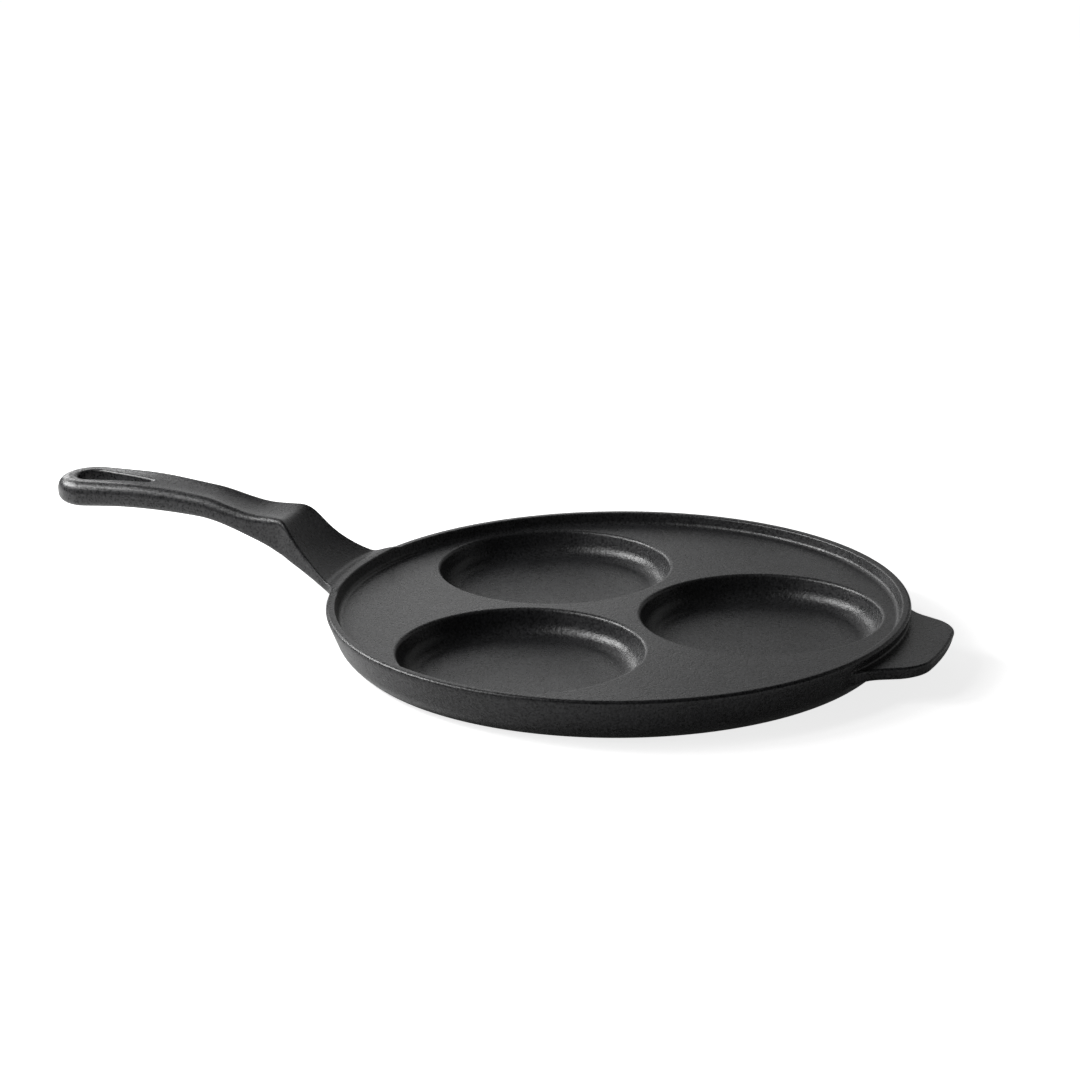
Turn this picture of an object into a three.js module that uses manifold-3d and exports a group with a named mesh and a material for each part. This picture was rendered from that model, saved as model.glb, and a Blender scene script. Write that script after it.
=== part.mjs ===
// Uttapam pan: a one-piece cast iron pan with three round pits, a long handle and a helper handle.
// Millimetres, +Z up. The origin is on the pan's axis, at the level of the surface it stands on.
// The long handle points along -X and the helper handle along +X.

import * as THREE from 'three';
import { mergeVertices } from 'three/addons/utils/BufferGeometryUtils.js';
import Module from 'manifold-3d';

const wasm = await Module();
wasm.setup();

// Cooking pits
const PIT_COUNT = 3;
const PIT_DIAMETER = 94;
const PIT_DEPTH = 9.8;
const PIT_WEB = 5.1; // least iron between two neighbouring pits
const PIT_MOUTH_ROUND = 1.1;
const PIT_DRAFT = THREE.MathUtils.degToRad(17);
const PIT_FLOOR_FILLET = 7;
const PIT_TURN = THREE.MathUtils.degToRad(13.6); // from the helper handle round to the first pit
const PIT_SHIFT = 2.4; // the pits sit this much nearer to the long handle than to the helper handle

// Plate, rim and outer wall
const PLATE_BORDER = 0.7; // least flat plate between a pit and the foot of the rim
const RIM_LAND = 3.5;
const RIM_INNER_DRAFT = 1.2; // how far the rim's inner wall leans out on its way up
const RIM_RISE = 4.7; // from the plate to the top of the rim
const RIM_BAND = 1.6; // upright band around the top of the outer wall
const RIM_EDGE_ROUND = 0.9;
const RIM_FOOT_FILLET = 0.6;
const WALL_TAPER = 3.6; // how far the outer wall leans in below the band
const HEEL_SETBACK = 6.8; // from the outer wall in to the foot
const HEEL_HEIGHT = 7.2; // where the outer wall starts to turn under

// Underside
const PIT_FLOOR = 3.5; // thickness of iron under a pit
const PLATE_THICKNESS = 4.5;
const PIT_WALL = 5; // iron around a pit, seen from below
const FOOT_WIDTH = 5;
const POCKET_DRAFT = 0.8;

// Long handle: sections from inside the rim to the tip. Each is at a distance out from the rim, with heights
// measured from the top of the rim and the rounding of its upper edges.
const HANDLE_SECTIONS = {
  inside: { out: -6, width: 54, top: -1, bottom: -7.4, edge: 0.9 },
  root: { out: -2.5, width: 49, top: -0.8, bottom: -6.2, edge: 0.9 },
  rim: { out: 1, width: 45, top: 0.3, bottom: -5, edge: 0.9 },
  scoop: { out: 12, width: 34.2, top: 7.4, bottom: -0.9, edge: 0.9 },
  rise: { out: 18, width: 30.2, top: 13.2, bottom: 1.7, edge: 0.9 },
  brow: { out: 22, width: 28, top: 18.2, bottom: 3.4, edge: 0.9 },
  crest: { out: 25.5, width: 25.4, top: 20.4, bottom: 5, edge: 1 },
  neck: { out: 36, width: 23.8, top: 20.5, bottom: 9.6, edge: 1.2 },
  waist: { out: 63, width: 22.4, top: 25.8, bottom: 17, edge: 2 },
  grip: { out: 93, width: 26, top: 27.95, bottom: 18.3, edge: 2.8 },
  end: { out: 115.3, width: 29.4, top: 27.4, bottom: 17.2, edge: 3.2 },
};
const GRIP_DISH = 1; // hollow along the top of the handle
const GRIP_UNDER_ROUND = 3.6;
const ROUND_LIMIT = 0.45; // largest share of the bar's half width or thickness that a round takes
const TIP_ROUND = 4.2; // rounding of the tip as seen from the side
const SLOT_LENGTH = 33.8;
const SLOT_WIDTH = 13.8;
const SLOT_NECK_WIDTH = 4.8;
const SLOT_TO_TIP = 7.9; // iron between the hanging slot and the tip

// Helper handle
const TAB_REACH = 17.2; // from the rim to the end of the tab, which follows the rim
const TAB_WIDTH = 64.4; // across the tab where it is level with the rim
const TAB_SPLAY = 0.49; // how much each side widens for each millimetre toward the root
const TAB_ROOT_WIDTH = 78;
const TAB_FLARE_RUN = 7.4; // length of the flare from the straight sides out to the root
const TAB_CORNER = 7;
const TAB_THICKNESS = 5;
const TAB_EDGE_ROUND = 0.8;
const TAB_SIDE_DRAFT = 1.4; // how far the tab's sides lean in toward its underside
const TAB_DROP = 4.5; // from the top of the rim down to the top of the tab

// The casting is divided into its named parts on flat planes this far outside the rim.
const PARTING_OFFSET = 1.5;

// Fineness of the round forms
const PAN_FACETS = 84;
const PIT_FACETS = 60;
const HANDLE_STEPS = 36;
const TIP_STEPS = 7;
const CURVE_STEPS = 3;

// Sizes that follow from the ones above
const PIT_RADIUS = PIT_DIAMETER / 2;
const PIT_CIRCLE_RADIUS = (PIT_DIAMETER + PIT_WEB) / 2 / Math.sin(Math.PI / PIT_COUNT);
const PLATE_RADIUS = PIT_CIRCLE_RADIUS + PIT_RADIUS + PIT_SHIFT + PLATE_BORDER;
const RIM_INNER_RADIUS = PLATE_RADIUS + RIM_INNER_DRAFT;
const PAN_RADIUS = RIM_INNER_RADIUS + RIM_LAND;
const PLATE_LEVEL = PIT_FLOOR + PIT_DEPTH;
const PAN_HEIGHT = PLATE_LEVEL + RIM_RISE;
const BAND_LEVEL = PAN_HEIGHT - RIM_BAND;
const WALL_LEAN = WALL_TAPER / (BAND_LEVEL - HEEL_HEIGHT);
const HEEL_RADIUS = PAN_RADIUS - WALL_TAPER;
const FOOT_RADIUS = HEEL_RADIUS - HEEL_SETBACK;
const POCKET_LEVEL = PLATE_LEVEL - PLATE_THICKNESS;
const HUB_RADIUS = PIT_CIRCLE_RADIUS / 2; // where the pit bottoms run together
const END_RADIUS = HANDLE_SECTIONS.end.width / 2;
const TIP_DISTANCE = PAN_RADIUS + HANDLE_SECTIONS.end.out + END_RADIUS;
const TAB_ROOT_RADIUS = HEEL_RADIUS - RIM_EDGE_ROUND;

// How far a cutting form stands clear of what it cuts, and the share of a rounded mouth that does so
const CUT_MARGIN = 1;
const MOUTH_CLEARANCE = 0.1;

// Turn a closed geometry into a solid for joining and cutting.
function solidFrom(geometry) {
  const bare = geometry.clone();
  bare.deleteAttribute('normal');
  bare.deleteAttribute('uv');
  const welded = mergeVertices(bare);
  const corners = welded.index.array;
  const triangles = [];
  for (let i = 0; i < corners.length; i += 3) {
    const [a, b, c] = corners.slice(i, i + 3);
    if (a !== b && b !== c && c !== a) {
      triangles.push(a, b, c);
    }
  }
  const vertProperties = new Float32Array(welded.attributes.position.array);
  const triVerts = new Uint32Array(triangles);
  return new wasm.Manifold(new wasm.Mesh({ numProp: 3, vertProperties, triVerts }));
}

// Turn a solid back into a geometry.
function geometryFrom(solid) {
  const mesh = solid.getMesh();
  const geometry = new THREE.BufferGeometry();
  geometry.setAttribute('position', new THREE.BufferAttribute(new Float32Array(mesh.vertProperties), 3));
  geometry.setIndex(new THREE.BufferAttribute(new Uint32Array(mesh.triVerts), 1));
  geometry.computeVertexNormals();
  return geometry;
}

// Revolve a closed half outline (radius across, height up) about the Z axis.
function revolved(outline, facets) {
  const geometry = new THREE.LatheGeometry(outline.getPoints(CURVE_STEPS), facets);
  geometry.rotateX(Math.PI / 2);
  return geometry;
}

// The pan as a plain disc: foot, heel, leaning outer wall and the band around the rim.
function panBlank() {
  const outline = new THREE.Path();
  outline.moveTo(0, 0);
  outline.lineTo(FOOT_RADIUS, 0);
  const halfHeel = HEEL_HEIGHT / 2;
  outline.quadraticCurveTo(HEEL_RADIUS - WALL_LEAN * halfHeel, halfHeel, HEEL_RADIUS, HEEL_HEIGHT);
  outline.lineTo(PAN_RADIUS, BAND_LEVEL);
  outline.lineTo(PAN_RADIUS, PAN_HEIGHT - RIM_EDGE_ROUND);
  outline.quadraticCurveTo(PAN_RADIUS, PAN_HEIGHT, PAN_RADIUS - RIM_EDGE_ROUND, PAN_HEIGHT);
  outline.lineTo(0, PAN_HEIGHT);
  return solidFrom(revolved(outline, PAN_FACETS));
}

// The tray inside the rim as a cutting form: plate, foot fillet, leaning inner wall and rounded edge.
function trayCutter() {
  const clear = RIM_EDGE_ROUND * MOUTH_CLEARANCE;
  const outline = new THREE.Path();
  outline.moveTo(0, PLATE_LEVEL);
  outline.lineTo(PLATE_RADIUS - RIM_FOOT_FILLET, PLATE_LEVEL);
  outline.quadraticCurveTo(PLATE_RADIUS, PLATE_LEVEL, PLATE_RADIUS, PLATE_LEVEL + RIM_FOOT_FILLET);
  outline.lineTo(RIM_INNER_RADIUS, PAN_HEIGHT - RIM_EDGE_ROUND);
  outline.quadraticCurveTo(
    RIM_INNER_RADIUS, PAN_HEIGHT - clear, RIM_INNER_RADIUS + RIM_EDGE_ROUND, PAN_HEIGHT + clear,
  );
  outline.lineTo(0, PAN_HEIGHT + clear);
  return solidFrom(revolved(outline, PAN_FACETS));
}

// One pit as a cutting form: flat floor, floor fillet, leaning wall and rounded mouth.
function pitCutter() {
  const perRound = Math.tan(Math.PI / 4 - PIT_DRAFT / 2); // length of each leg of a round, for a round of 1
  const [across, up] = [Math.sin(PIT_DRAFT), Math.cos(PIT_DRAFT)];
  const mouthLeg = PIT_MOUTH_ROUND * perRound;
  const floorLeg = PIT_FLOOR_FILLET * perRound;
  const mouthRadius = PIT_RADIUS - mouthLeg;
  const floorRadius = mouthRadius - PIT_DEPTH * Math.tan(PIT_DRAFT);
  const clear = PIT_MOUTH_ROUND * MOUTH_CLEARANCE;
  const outline = new THREE.Path();
  outline.moveTo(0, PIT_FLOOR);
  outline.lineTo(floorRadius - floorLeg, PIT_FLOOR);
  outline.quadraticCurveTo(floorRadius, PIT_FLOOR, floorRadius + floorLeg * across, PIT_FLOOR + floorLeg * up);
  outline.lineTo(mouthRadius - mouthLeg * across, PLATE_LEVEL - mouthLeg * up);
  outline.quadraticCurveTo(mouthRadius, PLATE_LEVEL - clear, PIT_RADIUS, PLATE_LEVEL + clear);
  outline.lineTo(0, PLATE_LEVEL + clear);
  return solidFrom(revolved(outline, PIT_FACETS));
}

// The hollows under the plate: everything inside the foot except the pit bottoms and the hub between them.
function undersideCutter(pitPlaces) {
  const pocketRadius = FOOT_RADIUS - FOOT_WIDTH;
  const outline = new THREE.Path();
  outline.moveTo(0, -CUT_MARGIN);
  outline.lineTo(pocketRadius, -CUT_MARGIN);
  outline.lineTo(pocketRadius - POCKET_DRAFT, POCKET_LEVEL);
  outline.lineTo(0, POCKET_LEVEL);
  const kept = [coneBlock(HUB_RADIUS)];
  const pitBottom = coneBlock(PIT_RADIUS - PIT_MOUTH_ROUND + PIT_WALL);
  pitPlaces.forEach((place) => kept.push(pitBottom.translate([place.x, place.y, 0])));
  return kept.reduce((hollow, block) => hollow.subtract(block), solidFrom(revolved(outline, PAN_FACETS)));
}

// A round block under the plate, a little narrower at the foot so that the casting leaves its mould.
function coneBlock(radius) {
  const height = POCKET_LEVEL + 4 * CUT_MARGIN;
  const geometry = new THREE.CylinderGeometry(radius, radius - POCKET_DRAFT, height, PIT_FACETS);
  geometry.rotateX(Math.PI / 2);
  geometry.translate(0, 0, POCKET_LEVEL / 2);
  return solidFrom(geometry);
}

// Centres of the pits around the pan.
function pitCentres() {
  const centres = [];
  for (let i = 0; i < PIT_COUNT; i += 1) {
    const angle = PIT_TURN + (i * 2 * Math.PI) / PIT_COUNT;
    const x = PIT_CIRCLE_RADIUS * Math.cos(angle) - PIT_SHIFT;
    const y = PIT_CIRCLE_RADIUS * Math.sin(angle);
    centres.push(new THREE.Vector2(x, y));
  }
  return centres;
}

// A smooth curve through the handle sections for one of their sizes, without overshoot between them.
function alongHandle(size) {
  const sections = Object.values(HANDLE_SECTIONS);
  const at = sections.map((section) => section.out);
  const values = sections.map((section) => section[size]);
  const steps = at.slice(1).map((out, i) => out - at[i]);
  const rises = steps.map((step, i) => (values[i + 1] - values[i]) / step);
  const slopes = values.map((value, i) => {
    if (i === 0 || i === values.length - 1) {
      return rises[Math.min(i, rises.length - 1)];
    }
    const [before, after] = [rises[i - 1], rises[i]];
    return before * after <= 0 ? 0 : (2 * before * after) / (before + after);
  });
  return (out) => {
    const k = Math.min(at.findLastIndex((place) => place <= out), steps.length - 1);
    const t = (out - at[k]) / steps[k];
    const rise = values[k] * (1 + 2 * t) * (1 - t) ** 2 + values[k + 1] * t * t * (3 - 2 * t);
    return rise + steps[k] * (slopes[k] * t * (1 - t) ** 2 + slopes[k + 1] * t * t * (t - 1));
  };
}

// One section of the handle across Y: a bar with rounded edges and a dished top.
function handleRing(distance, width, top, bottom, edge) {
  const half = width / 2;
  const limit = ROUND_LIMIT * Math.min(half, top - bottom);
  const upper = Math.min(edge, limit);
  const under = Math.min(GRIP_UNDER_ROUND, limit);
  const dish = GRIP_DISH * Math.min(1, half / END_RADIUS);
  const ring = new THREE.Path();
  ring.moveTo(half - under, bottom);
  ring.quadraticCurveTo(half, bottom, half, bottom + under);
  ring.lineTo(half, top - upper);
  ring.quadraticCurveTo(half, top, half - upper, top);
  ring.quadraticCurveTo(0, top - 2 * dish, upper - half, top);
  ring.quadraticCurveTo(-half, top, -half, top - upper);
  ring.lineTo(-half, bottom + under);
  ring.quadraticCurveTo(-half, bottom, under - half, bottom);
  return ring.getPoints(CURVE_STEPS).map((point) => new THREE.Vector3(-distance, point.x, point.y));
}

// Skin a row of rings that have equal numbers of points, and close both ends.
function skinned(rings) {
  const count = rings[0].length;
  const points = rings.flat();
  const faces = [];
  for (let i = 0; i + 1 < rings.length; i += 1) {
    for (let j = 0; j < count; j += 1) {
      const next = (j + 1) % count;
      const [a, b] = [i * count + j, i * count + next];
      const [c, d] = [a + count, b + count];
      faces.push(a, c, b, b, c, d);
    }
  }
  [rings[0], rings[rings.length - 1]].forEach((ring, side) => {
    const first = side * (rings.length - 1) * count;
    const centre = points.length;
    points.push(ring.reduce((sum, point) => sum.add(point), new THREE.Vector3()).divideScalar(count));
    for (let j = 0; j < count; j += 1) {
      const next = (j + 1) % count;
      const edge = side === 0 ? [first + j, first + next] : [first + next, first + j];
      faces.push(centre, ...edge);
    }
  });
  const geometry = new THREE.BufferGeometry().setFromPoints(points);
  geometry.setIndex(faces);
  return geometry;
}

// The long handle: a loft from inside the rim to a half-round tip, with a teardrop slot to hang it by.
function handle() {
  const [width, top, bottom, edge] = ['width', 'top', 'bottom', 'edge'].map(alongHandle);
  const { inside, end } = HANDLE_SECTIONS;
  const rings = [];
  for (let i = 0; i <= HANDLE_STEPS; i += 1) {
    const out = THREE.MathUtils.lerp(inside.out, end.out, i / HANDLE_STEPS);
    const [high, low] = [PAN_HEIGHT + top(out), PAN_HEIGHT + bottom(out)];
    rings.push(handleRing(PAN_RADIUS + out, width(out), high, low, edge(out)));
  }
  for (let i = 1; i <= TIP_STEPS; i += 1) {
    const angle = (i / (TIP_STEPS + 0.5)) * (Math.PI / 2);
    const beyond = END_RADIUS * Math.sin(angle);
    const toTip = Math.max(0, TIP_ROUND - (END_RADIUS - beyond));
    const thinning = TIP_ROUND - Math.sqrt(TIP_ROUND ** 2 - toTip ** 2);
    const high = PAN_HEIGHT + end.top - thinning;
    const low = PAN_HEIGHT + end.bottom + thinning;
    const distance = PAN_RADIUS + end.out + beyond;
    rings.push(handleRing(distance, 2 * END_RADIUS * Math.cos(angle), high, low, end.edge));
  }
  return solidFrom(skinned(rings)).subtract(slotCutter());
}

// The hanging slot: two round ends of different widths joined by straight sides.
function slotCutter() {
  const wide = SLOT_WIDTH / 2;
  const narrow = SLOT_NECK_WIDTH / 2;
  const wideAt = TIP_DISTANCE - SLOT_TO_TIP - wide;
  const narrowAt = TIP_DISTANCE - SLOT_TO_TIP - SLOT_LENGTH + narrow;
  const tangent = Math.acos((wide - narrow) / (wideAt - narrowAt));
  const outline = new THREE.Shape();
  outline.absarc(-wideAt, 0, wide, tangent, 2 * Math.PI - tangent, false);
  outline.absarc(-narrowAt, 0, narrow, -tangent, tangent, false);
  const height = 2 * (PAN_HEIGHT + HANDLE_SECTIONS.grip.top);
  return solidFrom(new THREE.ExtrudeGeometry(outline, { depth: height, bevelEnabled: false }));
}

// The outline of the helper handle at one level: flared root, splayed sides, round corners and an end that
// follows the rim.
function tabRing(inset, level) {
  const endRadius = PAN_RADIUS + TAB_REACH - inset;
  const normal = new THREE.Vector2(TAB_SPLAY, 1).normalize();
  const along = new THREE.Vector2(1, -TAB_SPLAY).normalize();
  const sideAtRim = TAB_WIDTH / 2 - inset / normal.y;
  const sideFromAxis = normal.dot(new THREE.Vector2(PAN_RADIUS, sideAtRim));
  const inward = sideFromAxis - TAB_CORNER;
  const outward = Math.sqrt((endRadius - TAB_CORNER) ** 2 - inward ** 2);
  const corner = normal.clone().multiplyScalar(inward).addScaledVector(along, outward);
  const rootHalf = TAB_ROOT_WIDTH / 2 - inset;
  const root = Math.sqrt(TAB_ROOT_RADIUS ** 2 - (TAB_ROOT_WIDTH / 2) ** 2);
  const flare = { x: PAN_RADIUS - TAB_FLARE_RUN / 2, y: sideAtRim + (TAB_SPLAY * TAB_FLARE_RUN) / 2 };
  const outline = new THREE.Path();
  outline.moveTo(root, -rootHalf);
  outline.lineTo(PAN_RADIUS - TAB_FLARE_RUN, -rootHalf);
  outline.quadraticCurveTo(flare.x, -flare.y, PAN_RADIUS, -sideAtRim);
  outline.absarc(corner.x, -corner.y, TAB_CORNER, -normal.angle(), -corner.angle(), false);
  outline.absarc(0, 0, endRadius, -corner.angle(), corner.angle(), false);
  outline.absarc(corner.x, corner.y, TAB_CORNER, corner.angle(), normal.angle(), false);
  outline.lineTo(PAN_RADIUS, sideAtRim);
  outline.quadraticCurveTo(flare.x, flare.y, PAN_RADIUS - TAB_FLARE_RUN, rootHalf);
  outline.lineTo(root, rootHalf);
  return outline.getPoints(CURVE_STEPS).map((point) => new THREE.Vector3(point.x, point.y, level));
}

// The helper handle: a flat tab with rounded edges whose sides lean in toward its underside.
function tab() {
  const top = PAN_HEIGHT - TAB_DROP;
  const rings = [];
  for (let i = 0; i <= CURVE_STEPS; i += 1) {
    const angle = (i / CURVE_STEPS) * (Math.PI / 2);
    const inset = TAB_EDGE_ROUND * (1 - Math.sin(angle));
    const drop = TAB_EDGE_ROUND * (1 - Math.cos(angle));
    rings.splice(i, 0, tabRing(inset, top - drop));
    rings.splice(rings.length - i, 0, tabRing(TAB_SIDE_DRAFT + inset, top - TAB_THICKNESS + drop));
  }
  return solidFrom(skinned(rings));
}

// All the space beyond a plane that stands just outside the rim, on the side that the sign of X gives.
function spaceBeyond(sign) {
  const size = 2 * TIP_DISTANCE;
  const geometry = new THREE.BoxGeometry(size, size, size);
  geometry.translate(sign * (PAN_RADIUS + PARTING_OFFSET + size / 2), 0, 0);
  return solidFrom(geometry);
}

// A named part of the casting with its own iron.
function ironPart(name, solid) {
  const iron = new THREE.MeshStandardMaterial({ color: 0x3a3a3c, roughness: 0.72, metalness: 0.4 });
  const mesh = new THREE.Mesh(geometryFrom(solid), iron);
  mesh.name = name;
  return mesh;
}

const pitPlaces = pitCentres();
const pit = pitCutter();
const cutPit = (solid, place) => solid.subtract(pit.translate([place.x, place.y, 0]));
const joined = panBlank().add(handle()).add(tab());
const hollowed = joined.subtract(trayCutter()).subtract(undersideCutter(pitPlaces));
const casting = pitPlaces.reduce(cutPit, hollowed);
const handleSide = spaceBeyond(-1);
const tabSide = spaceBeyond(1);

const uttapamPan = new THREE.Group();
uttapamPan.add(ironPart('pan_body', casting.subtract(handleSide).subtract(tabSide)));
uttapamPan.add(ironPart('long_handle', casting.intersect(handleSide)));
uttapamPan.add(ironPart('helper_handle', casting.intersect(tabSide)));

export default uttapamPan;
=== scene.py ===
# Looks of the uttapam pan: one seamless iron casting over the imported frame, its studio and its camera.

import math

import bpy
import numpy as np
from mathutils import Matrix, Quaternion, Vector


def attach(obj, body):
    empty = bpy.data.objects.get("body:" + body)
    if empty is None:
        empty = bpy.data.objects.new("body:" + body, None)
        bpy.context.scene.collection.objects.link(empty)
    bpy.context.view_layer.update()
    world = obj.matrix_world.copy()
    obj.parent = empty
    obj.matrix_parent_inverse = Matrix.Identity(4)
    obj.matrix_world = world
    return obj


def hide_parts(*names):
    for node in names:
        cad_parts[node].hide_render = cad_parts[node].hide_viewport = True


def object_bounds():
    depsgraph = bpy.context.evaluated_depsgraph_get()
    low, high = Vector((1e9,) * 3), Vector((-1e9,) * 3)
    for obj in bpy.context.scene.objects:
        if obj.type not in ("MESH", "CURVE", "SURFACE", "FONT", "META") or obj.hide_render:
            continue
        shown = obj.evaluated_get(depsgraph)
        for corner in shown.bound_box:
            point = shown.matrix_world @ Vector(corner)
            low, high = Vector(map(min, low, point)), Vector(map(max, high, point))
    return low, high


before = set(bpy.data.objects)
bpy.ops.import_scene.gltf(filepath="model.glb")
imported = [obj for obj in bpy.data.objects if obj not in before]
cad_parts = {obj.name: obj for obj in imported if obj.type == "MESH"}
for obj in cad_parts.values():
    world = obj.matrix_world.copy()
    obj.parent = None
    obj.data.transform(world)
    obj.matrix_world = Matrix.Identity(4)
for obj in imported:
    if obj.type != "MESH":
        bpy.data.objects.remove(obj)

cad_low, cad_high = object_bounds()

# Sizes of the pan are in millimetres, as in the part's source. The mesh is scaled to metres when it is made.
MM = 0.001

# Cooking pits
PIT_COUNT = 3
PIT_RADIUS = 47.0
PIT_DEPTH = 9.8
PIT_WEB = 5.1  # least iron between two neighbouring pits
PIT_MOUTH_ROUND = 1.1
PIT_DRAFT = math.radians(17)
PIT_FLOOR_FILLET = 7.0
PIT_TURN = math.radians(13.6)  # from the helper handle round to the first pit
PIT_SHIFT = 2.4  # the pits sit this much nearer to the long handle than to the helper handle

# Plate, rim and outer wall
PAN_RADIUS = 112.0
RIM_LAND = 3.5
RIM_INNER_DRAFT = 1.2  # how far the rim's inner wall leans out on its way up
RIM_RISE = 4.7  # from the plate to the top of the rim
RIM_BAND = 1.6  # upright band around the top of the outer wall
RIM_OUTER_ROUND = 1.3
RIM_INNER_ROUND = 0.6
RIM_FOOT_FILLET = 2.0
WALL_TAPER = 3.6  # how far the outer wall leans in below the band
HEEL_SETBACK = 6.8  # from the outer wall in to the foot
HEEL_HEIGHT = 7.2  # where the outer wall starts to turn under
BAND_BLEND = 0.8  # height, above and below the bend, over which the wall turns into the band
FOOT_EDGE_ROUND = 1.2

# Underside
PIT_FLOOR = 3.5  # thickness of iron under a pit
PLATE_THICKNESS = 4.5
PIT_WALL = 5.0  # iron around a pit, seen from below
HUB_RADIUS = 28.6  # where the pit bottoms run together
FOOT_WIDTH = 5.2
POCKET_DRAFT = 0.8
POCKET_FILLET = 2.5
POCKET_EDGE_ROUND = 1.2

# Long handle: sections from inside the rim to the tip. Each has its distance out from the rim, its width,
# its top and bottom measured from the top of the rim, the rounding of its lips and the depth of its dish.
OUT, WIDTH, TOP, BOTTOM, LIP, DISH = range(6)
HANDLE_SECTIONS = {
    "inside": (-6.0, 54.0, -1.0, -7.4, 0.9, 1.0),
    "root": (-2.5, 49.0, -0.8, -6.2, 0.9, 1.0),
    "rim": (1.0, 45.0, 0.3, -5.0, 0.9, 1.0),
    "scoop": (12.0, 34.2, 7.4, -0.9, 0.9, 1.0),
    "rise": (18.0, 30.2, 13.2, 1.7, 0.9, 1.0),
    "brow": (22.0, 28.0, 18.2, 3.4, 1.4, 0.9),
    "crest": (25.5, 25.4, 20.6, 5.0, 2.2, 0.8),
    "neck": (36.0, 23.8, 20.6, 9.6, 2.9, 1.1),
    "waist": (63.0, 22.4, 25.8, 17.0, 3.9, 1.1),
    "grip": (93.0, 26.0, 27.95, 18.3, 4.4, 0.6),
    "end": (115.3, 29.4, 27.4, 17.2, 4.8, 0.2),
}
BEND_EASE = 1.6  # length over which the bends along the handle are softened
EASE_REACH = 3  # how many such lengths the softening looks to each side
DISH_POWER = 2.2  # a higher power gives a flatter dish with steeper lips
DISH_LEAST = 1.0  # least half width of the dish
GRIP_UNDER_ROUND = 3.6
HANDLE_ROOT_FILLET = 4.0
SLOT_LENGTH = 33.0
SLOT_WIDTH = 13.0
SLOT_NECK_WIDTH = 4.0
SLOT_TO_TIP = 8.3  # iron between the hanging slot and the tip
SLOT_EDGE_ROUND = 1.2

# Helper handle
TAB_REACH = 17.2  # from the rim to the end of the tab, which follows the rim
TAB_WIDTH = 64.4  # across the tab where it is level with the rim
TAB_SPLAY = 0.49  # how much each side widens for each millimetre toward the root
TAB_ROOT_WIDTH = 78.0
TAB_ROOT_DEPTH = 9.0  # how far the tab runs in from the edge of the plate
TAB_FLARE_RUN = 7.4  # length of the flare from the straight sides out to the root
TAB_CORNER = 7.0
TAB_THICKNESS = 5.0
TAB_EDGE_ROUND = 1.2
TAB_SIDE_DRAFT = 1.4  # how far the tab's sides lean in toward its underside
TAB_DROP = 4.5  # from the top of the rim down to the top of the tab
TAB_TOP_FILLET = 1.0
TAB_UNDER_FILLET = 4.0

# Sizes that follow from the ones above
PIT_RING = (2 * PIT_RADIUS + PIT_WEB) / 2 / math.sin(math.pi / PIT_COUNT)
PIT_BOTTOM_RADIUS = PIT_RADIUS - PIT_MOUTH_ROUND + PIT_WALL
PLATE_RADIUS = PAN_RADIUS - RIM_LAND - RIM_INNER_DRAFT
PLATE_LEVEL = PIT_FLOOR + PIT_DEPTH
PAN_HEIGHT = PLATE_LEVEL + RIM_RISE
BAND_LEVEL = PAN_HEIGHT - RIM_BAND
HEEL_RADIUS = PAN_RADIUS - WALL_TAPER
FOOT_RADIUS = HEEL_RADIUS - HEEL_SETBACK
POCKET_LEVEL = PLATE_LEVEL - PLATE_THICKNESS
POCKET_RADIUS = FOOT_RADIUS - FOOT_WIDTH
END_AT = HANDLE_SECTIONS["end"][OUT]
END_RADIUS = HANDLE_SECTIONS["end"][WIDTH] / 2
TAB_LEVEL = PAN_HEIGHT - TAB_DROP

# Fineness of the mesh
GRID_STEP = 0.6
FACES_KEPT = 190000
GRID_MARGIN = 4.0
BLOCK = 8  # grid steps along a block
BLOCKS_AT_ONCE = 2000
NEAR_BLOCKS = 1.3  # blocks are worked out up to this many of their sides from the surface
CURVE_POINTS = 800
WALL_STEP = 0.05  # height over which the lean of the outer wall is measured
FIELD_STEP = 0.02  # distance over which the slope of the field is measured
LEAST_SLOPE = 0.25  # least square of that slope when points are moved onto the surface
SETTLE_ROUNDS = 2
LIMB_START = 90.0  # the two handles are worked out only where X is farther than this from the middle
FAR = 50.0  # distance that stands for a handle elsewhere

# Iron
IRON_DARK = (0.022, 0.022, 0.0231, 1)
IRON_LIGHT = (0.032, 0.032, 0.0336, 1)
NOISE_RANGE = (0.3, 0.7)  # where most values of a noise lie
NOISE_ROUGHNESS = 0.6
MOTTLE_SCALE, MOTTLE_DETAIL = 60.0, 4.0
SPECK_SCALE, SPECK_DETAIL = 1000.0, 2.0
GRAIN_SCALE, GRAIN_DETAIL = 1000.0, 3.0
SPECK_SHADES = (0.5, 1.5)
GLOSS_RANGE = (0.32, 0.68)
ROUGH_RANGE = (0.25, 0.33)
GRAIN_STRENGTH = 0.4
GRAIN_DEPTH = 0.0004

# Floor and surroundings, in metres
WHITE = (1, 1, 1, 1)
FLOOR_TONE = (0.8, 0.8, 0.8, 1)
FLOOR_REACH = 8.0
SHADOW_REACH = (0.1, 0.5)  # distances from the axis between which the floor turns fully white
SHADOW_WHITE = (0.8, 1.0)  # how white the floor is at those distances, before the light that falls on it
MIRRORED_GLOW = 0.045  # how white the floor is where it is mirrored
SURROUND_TONE = (0.02, 0.02, 0.02, 1)

# Camera, in metres, fitted to the photograph's frame of equal sides
CAMERA_AZIMUTH = math.radians(21.5612)
CAMERA_ELEVATION = math.radians(17.8732)
CAMERA_ROLL = math.radians(-0.7621)
CAMERA_PLACE = Vector((0.36619, -1.00725, 0.38694))
CAMERA_SIGHT = 50.0
SENSOR_MM = 36.0
FOCAL_PIXELS = 2950.0
FRAME_PIXELS = 1080.0

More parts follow.
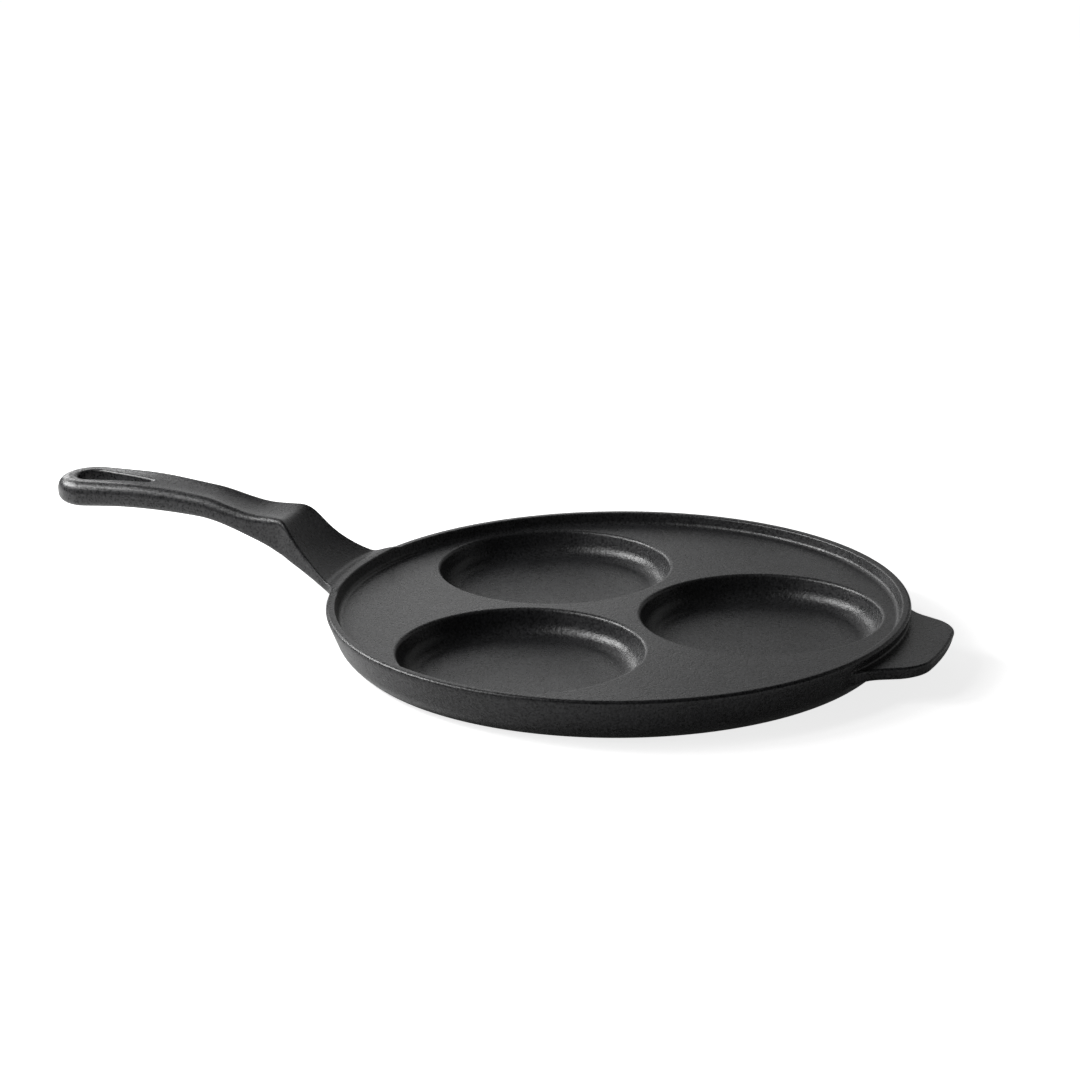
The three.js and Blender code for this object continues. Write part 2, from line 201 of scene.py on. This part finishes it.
# Soft boxes: degrees around the pan as the camera sees it (0 is right, 90 behind and 180 left), degrees
# above the floor, distance in metres, width and height in metres, power in watts and tilt in degrees
KEY_TILT = 33
SOFT_BOXES = {
    "key": (164, 33, 0.7, (0.5, 0.17), 3.6, KEY_TILT),
    "key_skirt": (168, 36, 0.72, (0.78, 0.55), 0.9, KEY_TILT),
    "key_front": (202, 48, 0.7, (0.16, 0.5), 0.75, KEY_TILT),
    "low_left": (121, 17, 0.9, (0.25, 0.25), 0.85, 0),
    "back": (88, 24, 0.9, (0.6, 0.62), 0.38, 0),
    "back_low": (97, 8, 0.9, (0.3, 0.16), 0.08, 0),
    "back_left": (95, 23, 0.9, (0.26, 0.48), 0.11, 0),
    "back_high": (114, 34, 0.9, (0.2, 0.3), 0.18, 0),
    "side": (33, 15, 1.0, (1.2, 0.6), 0.48, 0),
    "front_left": (215, 16, 0.8, (0.3, 0.3), 0.05, 0),
}


# Rounded joining and cutting of distance fields: negative inside the iron, positive outside

def joined(a, b, fillet):
    """Both forms, with a fillet of the given radius where they meet."""
    into_a = np.maximum(fillet - a, 0.0)
    into_b = np.maximum(fillet - b, 0.0)
    return np.maximum(np.minimum(a, b), fillet) - np.hypot(into_a, into_b)


def shared(a, b, edge):
    """What two forms share, with the edge between them rounded."""
    past_a = np.maximum(edge + a, 0.0)
    past_b = np.maximum(edge + b, 0.0)
    return np.minimum(np.maximum(a, b), -edge) + np.hypot(past_a, past_b)


def cut(a, b, edge):
    """The first form without the second, with a rounded mouth."""
    return shared(a, -b, edge)


# The pan

def outer_radius(z):
    """Radius of the outer wall at a height: heel, leaning wall and the upright band at the rim."""
    lean = WALL_TAPER / (BAND_LEVEL - HEEL_HEIGHT)
    wall = HEEL_RADIUS + lean * (z - HEEL_HEIGHT)
    past = np.maximum(BAND_BLEND - np.abs(z - BAND_LEVEL), 0.0)
    wall = np.minimum(wall, PAN_RADIUS) - lean * past ** 2 / (4 * BAND_BLEND)
    t = np.clip(z / HEEL_HEIGHT, 0.0, 1.0)
    middle = HEEL_RADIUS - lean * HEEL_HEIGHT / 2
    heel = FOOT_RADIUS * (1 - t) ** 2 + 2 * middle * t * (1 - t) + HEEL_RADIUS * t ** 2
    return np.where(z < HEEL_HEIGHT, heel, wall)


def pan_blank(r, z):
    """The pan as a plain disc."""
    slope = (outer_radius(z + WALL_STEP) - outer_radius(z - WALL_STEP)) / (2 * WALL_STEP)
    wall = (r - outer_radius(z)) / np.sqrt(1 + slope ** 2)
    disc = shared(wall, z - PAN_HEIGHT, RIM_OUTER_ROUND)
    return shared(disc, -z, FOOT_EDGE_ROUND)


def round_hollow(r, z, foot_radius, draft, floor_level, fillet):
    """The space over a flat round floor inside a leaning wall, with a true fillet where they meet."""
    across, along = math.sin(draft), math.cos(draft)
    wall = (r - foot_radius) * along - (z - floor_level) * across
    past = r - foot_radius + fillet * math.tan(math.pi / 4 - draft / 2)
    over = z - floor_level - fillet
    in_fillet = (past > 0) & (past * across + over * along < 0)
    return np.where(in_fillet, np.hypot(past, over) - fillet, np.maximum(wall, floor_level - z))


def tray(r, z):
    """The space inside the rim."""
    draft = math.atan(RIM_INNER_DRAFT / RIM_RISE)
    return round_hollow(r, z, PLATE_RADIUS, draft, PLATE_LEVEL, RIM_FOOT_FILLET)


def pit_centres():
    """Centres of the pits around the pan."""
    turns = [PIT_TURN + i * 2 * math.pi / PIT_COUNT for i in range(PIT_COUNT)]
    return [(PIT_RING * math.cos(turn) - PIT_SHIFT, PIT_RING * math.sin(turn)) for turn in turns]


def pit(distance, z):
    """One cooking pit, from the distance to its axis."""
    mouth = PIT_RADIUS - PIT_MOUTH_ROUND * math.tan(math.pi / 4 - PIT_DRAFT / 2)
    foot = mouth - PIT_DEPTH * math.tan(PIT_DRAFT)
    return round_hollow(distance, z, foot, PIT_DRAFT, PIT_FLOOR, PIT_FLOOR_FILLET)


def underside_hollow(r, z, to_pits):
    """The space under the plate, around the pit bottoms and the hub."""
    inset = POCKET_DRAFT / POCKET_LEVEL * z
    hollow = shared(r - POCKET_RADIUS + inset, z - POCKET_LEVEL, POCKET_FILLET)
    blocks = r - HUB_RADIUS - inset
    for distance in to_pits:
        blocks = joined(blocks, distance - PIT_BOTTOM_RADIUS + POCKET_DRAFT - inset, POCKET_FILLET)
    return shared(hollow, -blocks, POCKET_FILLET)


# The long handle

def eased(curve, step):
    """A curve with its bends softened, its ends kept straight."""
    reach = np.arange(-EASE_REACH * BEND_EASE, EASE_REACH * BEND_EASE + step / 2, step)
    weights = np.exp(-0.5 * (reach / BEND_EASE) ** 2)
    longer = np.pad(curve, (len(reach) // 2, (len(reach) - 1) // 2), mode="reflect", reflect_type="odd")
    return np.convolve(longer, weights / weights.sum(), mode="valid")


def along_handle(column):
    """A smooth curve through the handle sections for one of their sizes, without overshoot between them."""
    sections = np.array(list(HANDLE_SECTIONS.values()))
    at, values = sections[:, OUT], sections[:, column]
    steps = np.diff(at)
    rises = np.diff(values) / steps
    product = rises[:-1] * rises[1:]
    total = rises[:-1] + rises[1:]
    inner = np.where(product > 0, 2 * product / np.where(product > 0, total, 1.0), 0.0)
    slopes = np.concatenate([rises[:1], inner, rises[-1:]])
    out = np.linspace(at[0], at[-1], CURVE_POINTS)
    k = np.clip(np.searchsorted(at, out, side="right") - 1, 0, len(steps) - 1)
    t = (out - at[k]) / steps[k]
    curve = values[k] * (1 + 2 * t) * (1 - t) ** 2 + values[k + 1] * t ** 2 * (3 - 2 * t)
    curve += steps[k] * (slopes[k] * t * (1 - t) ** 2 + slopes[k + 1] * t ** 2 * (t - 1))
    curve = eased(curve, out[1] - out[0])
    return out, curve, np.gradient(curve, out)


HANDLE_CURVES = [along_handle(column) for column in (WIDTH, TOP, BOTTOM, LIP, DISH)]


def handle(x, y, z):
    """The long handle with its dished top, half-round tip and hanging slot."""
    out = -x - PAN_RADIUS
    (at, width, widening), (_, top, rising), (_, bottom, lifting), (_, edge, _), (_, dish, _) = HANDLE_CURVES
    past = np.maximum(out - END_AT, 0.0)
    half = np.interp(out, at, width) / 2
    sides = (np.abs(y) - half) / np.hypot(1, np.interp(out, at, widening) / 2)
    plan = np.where(out > END_AT, np.hypot(past, y) - END_RADIUS, sides)
    plan = np.maximum(plan, at[0] - out)
    lip = np.interp(out, at, edge)
    inside = np.maximum(half - lip, DISH_LEAST)
    share = np.minimum(np.hypot(y, past) / inside, 1.0)
    depth = np.interp(out, at, dish) * (1 - share ** DISH_POWER)
    upper = PAN_HEIGHT + np.interp(out, at, top) - depth
    lower = PAN_HEIGHT + np.interp(out, at, bottom)
    over = (z - upper) / np.hypot(1, np.interp(out, at, rising))
    under = (lower - z) / np.hypot(1, np.interp(out, at, lifting))
    bar = shared(shared(plan, over, lip), under, GRIP_UNDER_ROUND)
    return cut(bar, hanging_slot(out, y), SLOT_EDGE_ROUND)


def hanging_slot(out, y):
    """Two round ends of different widths joined by straight sides."""
    wide, narrow = SLOT_WIDTH / 2, SLOT_NECK_WIDTH / 2
    wide_at = END_AT + END_RADIUS - SLOT_TO_TIP - wide
    run = SLOT_LENGTH - wide - narrow
    along = wide_at - out
    lean = (wide - narrow) / run
    level = math.sqrt(1 - lean ** 2)
    across = np.abs(y)
    place = along * level - across * lean
    by_wide = np.hypot(along, across) - wide
    by_neck = np.hypot(along - run, across) - narrow
    by_side = across * level + along * lean - wide
    return np.where(place < 0, by_wide, np.where(place > run * level, by_neck, by_side))


# The helper handle

def under_tab_top(z):
    """Share of the tab's thickness that a height lies under its top."""
    return np.clip((TAB_LEVEL - z) / TAB_THICKNESS, 0.0, 1.0)


def tab(x, y, z):
    """The flat helper handle: its end follows the rim and its sides splay out to the root."""
    inset = TAB_SIDE_DRAFT * under_tab_top(z)
    inward = PAN_RADIUS - x
    flare = (TAB_ROOT_WIDTH / 2 - TAB_WIDTH / 2 - TAB_SPLAY * TAB_FLARE_RUN) / TAB_FLARE_RUN ** 2
    half = TAB_WIDTH / 2 + TAB_SPLAY * inward + flare * np.maximum(inward, 0.0) ** 2
    half = np.minimum(half, TAB_ROOT_WIDTH / 2)
    side = (np.abs(y) - half) / math.hypot(1, TAB_SPLAY) + inset
    end = np.hypot(x, y) - PAN_RADIUS - TAB_REACH + inset
    plan = np.maximum(shared(side, end, TAB_CORNER), PLATE_RADIUS - TAB_ROOT_DEPTH - x)
    slab = shared(plan, z - TAB_LEVEL, TAB_EDGE_ROUND)
    return shared(slab, TAB_LEVEL - TAB_THICKNESS - z, TAB_EDGE_ROUND)


# The whole casting

def with_limb(solid, limb, fillet, place, reached):
    """A solid with a handle joined to it, which is worked out only where it is reached."""
    if not reached.any():
        return solid
    distance = np.full(solid.shape, FAR)
    distance[reached] = limb(*(part[reached] for part in place))
    return joined(solid, distance, fillet)


def casting(x, y, z):
    """Distance to the surface of the whole casting."""
    r = np.hypot(x, y)
    to_pits = [np.hypot(x - px, y - py) for px, py in pit_centres()]
    tab_fillet = TAB_TOP_FILLET + (TAB_UNDER_FILLET - TAB_TOP_FILLET) * under_tab_top(z)
    solid = pan_blank(r, z)
    solid = with_limb(solid, handle, HANDLE_ROOT_FILLET, (x, y, z), x < -LIMB_START)
    solid = with_limb(solid, tab, tab_fillet, (x, y, z), x > LIMB_START)
    solid = cut(solid, tray(r, z), RIM_INNER_ROUND)
    solid = cut(solid, underside_hollow(r, z, to_pits), POCKET_EDGE_ROUND)
    for distance in to_pits:
        solid = cut(solid, pit(distance, z), PIT_MOUTH_ROUND)
    return solid


# Meshing of the distance field

CORNERS = np.indices((2, 2, 2)).reshape(3, -1).T
AXES = np.eye(3, dtype=int)


def steepness(points):
    """Gradient of the field at points."""
    x, y, z = points.T
    across = casting(x + FIELD_STEP, y, z) - casting(x - FIELD_STEP, y, z)
    away = casting(x, y + FIELD_STEP, z) - casting(x, y - FIELD_STEP, z)
    up = casting(x, y, z + FIELD_STEP) - casting(x, y, z - FIELD_STEP)
    return np.stack([across, away, up], axis=1) / (2 * FIELD_STEP)


def settled(points):
    """Points moved onto the surface."""
    for _ in range(SETTLE_ROUNDS):
        gradient = steepness(points)
        size = np.maximum((gradient ** 2).sum(axis=1), LEAST_SLOPE)
        points = points - gradient * (casting(*points.T) / size)[:, None]
    return points


def field_grid():
    """Lower corner and values of a fine grid, worked out only in the blocks near the surface."""
    side = GRID_STEP * BLOCK
    low = np.array(cad_low) / MM - GRID_MARGIN
    blocks = np.ceil((np.array(cad_high) / MM + GRID_MARGIN - low) / side).astype(int)
    places = np.indices(blocks).reshape(3, -1).T
    values = casting(*(low + (places + 0.5) * side).T)
    coarse = np.where(values < 0, -1.0, 1.0).reshape(blocks).astype(np.float32)
    grid = coarse.repeat(BLOCK, 0).repeat(BLOCK, 1).repeat(BLOCK, 2)
    grid = np.pad(grid, ((0, 1),) * 3, mode="edge")
    near = places[np.abs(values) < side * NEAR_BLOCKS]
    steps = np.indices((BLOCK + 1,) * 3).reshape(3, -1).T
    for some in np.array_split(near, max(1, len(near) // BLOCKS_AT_ONCE)):
        nodes = (some[:, None, :] * BLOCK + steps[None]).reshape(-1, 3)
        grid[tuple(nodes.T)] = casting(*(low + nodes * GRID_STEP).T)
    return low, grid


def crossed_cells(inside):
    """Cells of the grid that have corners on both sides of the surface."""
    shape = tuple(n - 1 for n in inside.shape)
    count = np.zeros(shape, np.int8)
    for i, j, k in CORNERS:
        count += inside[i:i + shape[0], j:j + shape[1], k:k + shape[2]]
    return np.argwhere((count > 0) & (count < len(CORNERS)))


def cell_points(grid, cells):
    """One point for each cell, amid the places where the surface crosses its edges, in grid steps."""
    total = np.zeros((len(cells), 3))
    weight = np.zeros(len(cells))
    for axis, step in enumerate(AXES):
        for corner in CORNERS[CORNERS[:, axis] == 0]:
            start = cells + corner
            a = grid[tuple(start.T)].astype(float)
            b = grid[tuple((start + step).T)].astype(float)
            crossed = (a < 0) != (b < 0)
            share = np.where(crossed, a / np.where(crossed, a - b, 1.0), 0.0)
            total += crossed[:, None] * (corner + share[:, None] * step)
            weight += crossed
    return cells + total / weight[:, None]


def cell_faces(inside, cells):
    """Four-sided faces that look out of the iron, one around each grid edge that the surface crosses."""
    number = np.full(inside.shape, -1, np.int32)
    number[tuple(cells.T)] = np.arange(len(cells))
    own = inside[tuple(cells.T)]
    ring = [(0, 0), (1, 0), (1, 1), (0, 1)]
    faces = []
    for axis, step in enumerate(AXES):
        others = [a for a in range(3) if a != axis]
        ahead = inside[tuple((cells + step).T)]
        edge = (own != ahead) & (cells[:, others] > 0).all(axis=1)
        back, down = AXES[others]
        places = [cells[edge] - i * back - j * down for i, j in ring]
        quads = np.stack([number[tuple(place.T)] for place in places], axis=1)
        # The ring turns the other way about Y.
        flip = own[edge] == (axis == 1)
        quads[flip] = quads[flip][:, ::-1]
        faces.append(quads)
    return np.concatenate(faces)


def surface_net(low, grid):
    """Points and faces of the surface on which the values of a grid are zero."""
    inside = grid < 0
    cells = crossed_cells(inside)
    return low + cell_points(grid, cells) * GRID_STEP, cell_faces(inside, cells)


def mesh_from(name, points, faces):
    """A mesh of faces that all have the same number of sides."""
    mesh = bpy.data.meshes.new(name)
    sides = faces.shape[1]
    mesh.vertices.add(len(points))
    mesh.vertices.foreach_set("co", np.ascontiguousarray(points, np.float32).ravel())
    mesh.loops.add(faces.size)
    mesh.loops.foreach_set("vertex_index", np.ascontiguousarray(faces, np.int32).ravel())
    mesh.polygons.add(len(faces))
    mesh.polygons.foreach_set("loop_start", np.arange(0, faces.size, sides, dtype=np.int32))
    mesh.update(calc_edges=True)
    return mesh


def thinned(piece):
    """The mesh of a piece with fewer faces, most of them where it curves."""
    thinning = piece.modifiers.new("thinning", "DECIMATE")
    thinning.ratio = min(1.0, FACES_KEPT / (2 * len(piece.data.polygons)))
    mesh = bpy.data.meshes.new_from_object(piece.evaluated_get(bpy.context.evaluated_depsgraph_get()))
    piece.modifiers.clear()
    return mesh


def finish_surface(mesh):
    """Put the points of a mesh back on the surface, in metres, and give them exact normals."""
    flat = np.zeros(len(mesh.vertices) * 3, np.float32)
    mesh.vertices.foreach_get("co", flat)
    points = settled(flat.reshape(-1, 3).astype(float))
    normals = steepness(points)
    normals /= np.linalg.norm(normals, axis=1, keepdims=True)
    mesh.vertices.foreach_set("co", np.ascontiguousarray(points * MM, np.float32).ravel())
    mesh.polygons.foreach_set("use_smooth", np.ones(len(mesh.polygons), bool))
    mesh.update()
    mesh.normals_split_custom_set_from_vertices(normals.tolist())


def casting_object():
    """The whole casting as one piece."""
    points, faces = surface_net(*field_grid())
    piece = bpy.data.objects.new("pan_casting", mesh_from("pan_casting", settled(points), faces))
    bpy.context.collection.objects.link(piece)
    piece.data = thinned(piece)
    finish_surface(piece.data)
    return piece


# Materials

def noise(tree, scale, detail):
    """A noise in the object's own coordinates."""
    place = tree.nodes.new("ShaderNodeTexCoord")
    texture = tree.nodes.new("ShaderNodeTexNoise")
    texture.inputs["Scale"].default_value = scale
    texture.inputs["Detail"].default_value = detail
    texture.inputs["Roughness"].default_value = NOISE_ROUGHNESS
    tree.links.new(place.outputs["Object"], texture.inputs["Vector"])
    return texture.outputs["Fac"]


def ranged(tree, source, before, after, blend="LINEAR"):
    """A value brought from one range to another."""
    stretch = tree.nodes.new("ShaderNodeMapRange")
    stretch.interpolation_type = blend
    stretch.inputs["From Min"].default_value = before[0]
    stretch.inputs["From Max"].default_value = before[1]
    stretch.inputs["To Min"].default_value = after[0]
    stretch.inputs["To Max"].default_value = after[1]
    tree.links.new(source, stretch.inputs["Value"])
    return stretch.outputs["Result"]


def worked_out(tree, operation, *terms):
    """The result of an operation on sockets and plain numbers."""
    node = tree.nodes.new("ShaderNodeMath")
    node.operation = operation
    for socket, term in zip(node.inputs, terms):
        if isinstance(term, float):
            socket.default_value = term
        else:
            tree.links.new(term, socket)
    return node.outputs["Value"]


def iron_colour(tree, specks):
    """Charcoal with a soft mottle, made darker and paler by specks."""
    mottle = tree.nodes.new("ShaderNodeValToRGB")
    dark, light = mottle.color_ramp.elements
    dark.position, light.position = NOISE_RANGE
    dark.color = IRON_DARK
    light.color = IRON_LIGHT
    tree.links.new(noise(tree, MOTTLE_SCALE, MOTTLE_DETAIL), mottle.inputs["Fac"])
    speckled = tree.nodes.new("ShaderNodeVectorMath")
    speckled.operation = "SCALE"
    tree.links.new(mottle.outputs["Color"], speckled.inputs[0])
    tree.links.new(ranged(tree, specks, NOISE_RANGE, SPECK_SHADES), speckled.inputs["Scale"])
    return speckled.outputs["Vector"]


def iron():
    """Seasoned cast iron: a dark skin with fine specks in its colour and gloss, and a sand grain."""
    material = bpy.data.materials.new("seasoned_cast_iron")
    material.use_nodes = True
    tree = material.node_tree
    skin = tree.nodes["Principled BSDF"].inputs
    specks = noise(tree, SPECK_SCALE, SPECK_DETAIL)
    tree.links.new(iron_colour(tree, specks), skin["Base Color"])
    tree.links.new(ranged(tree, specks, NOISE_RANGE, GLOSS_RANGE), skin["Specular IOR Level"])
    grain = noise(tree, GRAIN_SCALE, GRAIN_DETAIL)
    tree.links.new(ranged(tree, grain, NOISE_RANGE, ROUGH_RANGE), skin["Roughness"])
    bump = tree.nodes.new("ShaderNodeBump")
    bump.inputs["Strength"].default_value = GRAIN_STRENGTH
    bump.inputs["Distance"].default_value = GRAIN_DEPTH
    tree.links.new(grain, bump.inputs["Height"])
    tree.links.new(bump.outputs["Normal"], skin["Normal"])
    return material


def floor_glow(tree):
    """How white the floor is by itself: a little less near the pan, and faint where it is mirrored."""
    place = tree.nodes.new("ShaderNodeTexCoord")
    distance = tree.nodes.new("ShaderNodeVectorMath")
    distance.operation = "LENGTH"
    tree.links.new(place.outputs["Object"], distance.inputs[0])
    white = ranged(tree, distance.outputs["Value"], SHADOW_REACH, SHADOW_WHITE, "SMOOTHSTEP")
    ray = tree.nodes.new("ShaderNodeLightPath").outputs
    shown = worked_out(tree, "MULTIPLY", white, ray["Is Camera Ray"])
    mirrored = worked_out(tree, "MAXIMUM", ray["Is Glossy Ray"], ray["Is Transmission Ray"])
    return worked_out(tree, "MULTIPLY_ADD", mirrored, MIRRORED_GLOW, shown)


def floor_paint():
    """Pale floor, white to the camera, with the pan's shadow left on it."""
    material = bpy.data.materials.new("studio_floor")
    material.use_nodes = True
    tree = material.node_tree
    tree.nodes.clear()
    matte = tree.nodes.new("ShaderNodeBsdfDiffuse")
    matte.inputs["Color"].default_value = FLOOR_TONE
    glow = tree.nodes.new("ShaderNodeEmission")
    tree.links.new(floor_glow(tree), glow.inputs["Strength"])
    both = tree.nodes.new("ShaderNodeAddShader")
    tree.links.new(matte.outputs["BSDF"], both.inputs[0])
    tree.links.new(glow.outputs["Emission"], both.inputs[1])
    end = tree.nodes.new("ShaderNodeOutputMaterial")
    tree.links.new(both.outputs["Shader"], end.inputs["Surface"])
    return material


# The studio

def camera():
    """The photograph's viewpoint."""
    data = bpy.data.cameras.new("camera")
    data.sensor_width = SENSOR_MM
    data.lens = SENSOR_MM * FOCAL_PIXELS / FRAME_PIXELS
    data.clip_end = CAMERA_SIGHT
    eye = bpy.data.objects.new("camera", data)
    level = math.cos(CAMERA_ELEVATION)
    back = Vector((
        math.sin(CAMERA_AZIMUTH) * level,
        -math.cos(CAMERA_AZIMUTH) * level,
        math.sin(CAMERA_ELEVATION),
    ))
    right = Vector((math.cos(CAMERA_AZIMUTH), math.sin(CAMERA_AZIMUTH), 0.0))
    up = back.cross(right)
    turn = Matrix((right, up, back)).transposed() @ Matrix.Rotation(CAMERA_ROLL, 3, "Z")
    eye.matrix_world = Matrix.Translation(CAMERA_PLACE) @ turn.to_4x4()
    bpy.context.collection.objects.link(eye)
    bpy.context.scene.camera = eye


def floor():
    """A plain floor under the pan."""
    corners = [(x * FLOOR_REACH, y * FLOOR_REACH, 0) for x, y in ((-1, -1), (1, -1), (1, 1), (-1, 1))]
    mesh = bpy.data.meshes.new("studio_floor")
    mesh.from_pydata(corners, [], [(0, 1, 2, 3)])
    mesh.materials.append(floor_paint())
    ground = bpy.data.objects.new("studio_floor", mesh)
    bpy.context.collection.objects.link(ground)


def surround():
    """Even light from all round, white to the camera."""
    world = bpy.data.worlds.new("studio")
    bpy.context.scene.world = world
    world.use_nodes = True
    tree = world.node_tree
    ray = tree.nodes.new("ShaderNodeLightPath").outputs
    tone = tree.nodes.new("ShaderNodeMix")
    tone.data_type = "RGBA"
    tone.inputs["A"].default_value = SURROUND_TONE
    tone.inputs["B"].default_value = WHITE
    tree.links.new(ray["Is Camera Ray"], tone.inputs["Factor"])
    tree.links.new(tone.outputs["Result"], tree.nodes["Background"].inputs["Color"])


def soft_box(name, around, above, distance, size, power, tilt):
    """A soft light that faces the pan and stays out of the camera's sight."""
    data = bpy.data.lights.new(name, "AREA")
    data.shape = "RECTANGLE"
    data.size, data.size_y = size
    data.energy = power
    lamp = bpy.data.objects.new(name, data)
    turn = math.radians(around) + CAMERA_AZIMUTH
    rise = math.radians(above)
    aim = Vector((math.cos(turn) * math.cos(rise), math.sin(turn) * math.cos(rise), math.sin(rise)))
    lamp.location = aim * distance
    lamp.rotation_mode = "QUATERNION"
    lamp.rotation_quaternion = aim.to_track_quat("Z", "Y") @ Quaternion((0, 0, 1), math.radians(tilt))
    lamp.visible_camera = False
    bpy.context.collection.objects.link(lamp)


pan = casting_object()
pan.data.materials.append(iron())
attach(pan, "root")
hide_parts("pan_body", "long_handle", "helper_handle")

camera()
floor()
surround()
for light_name, light in SOFT_BOXES.items():
    soft_box(light_name, *light)
bpy.context.scene.view_settings.view_transform = "Standard"
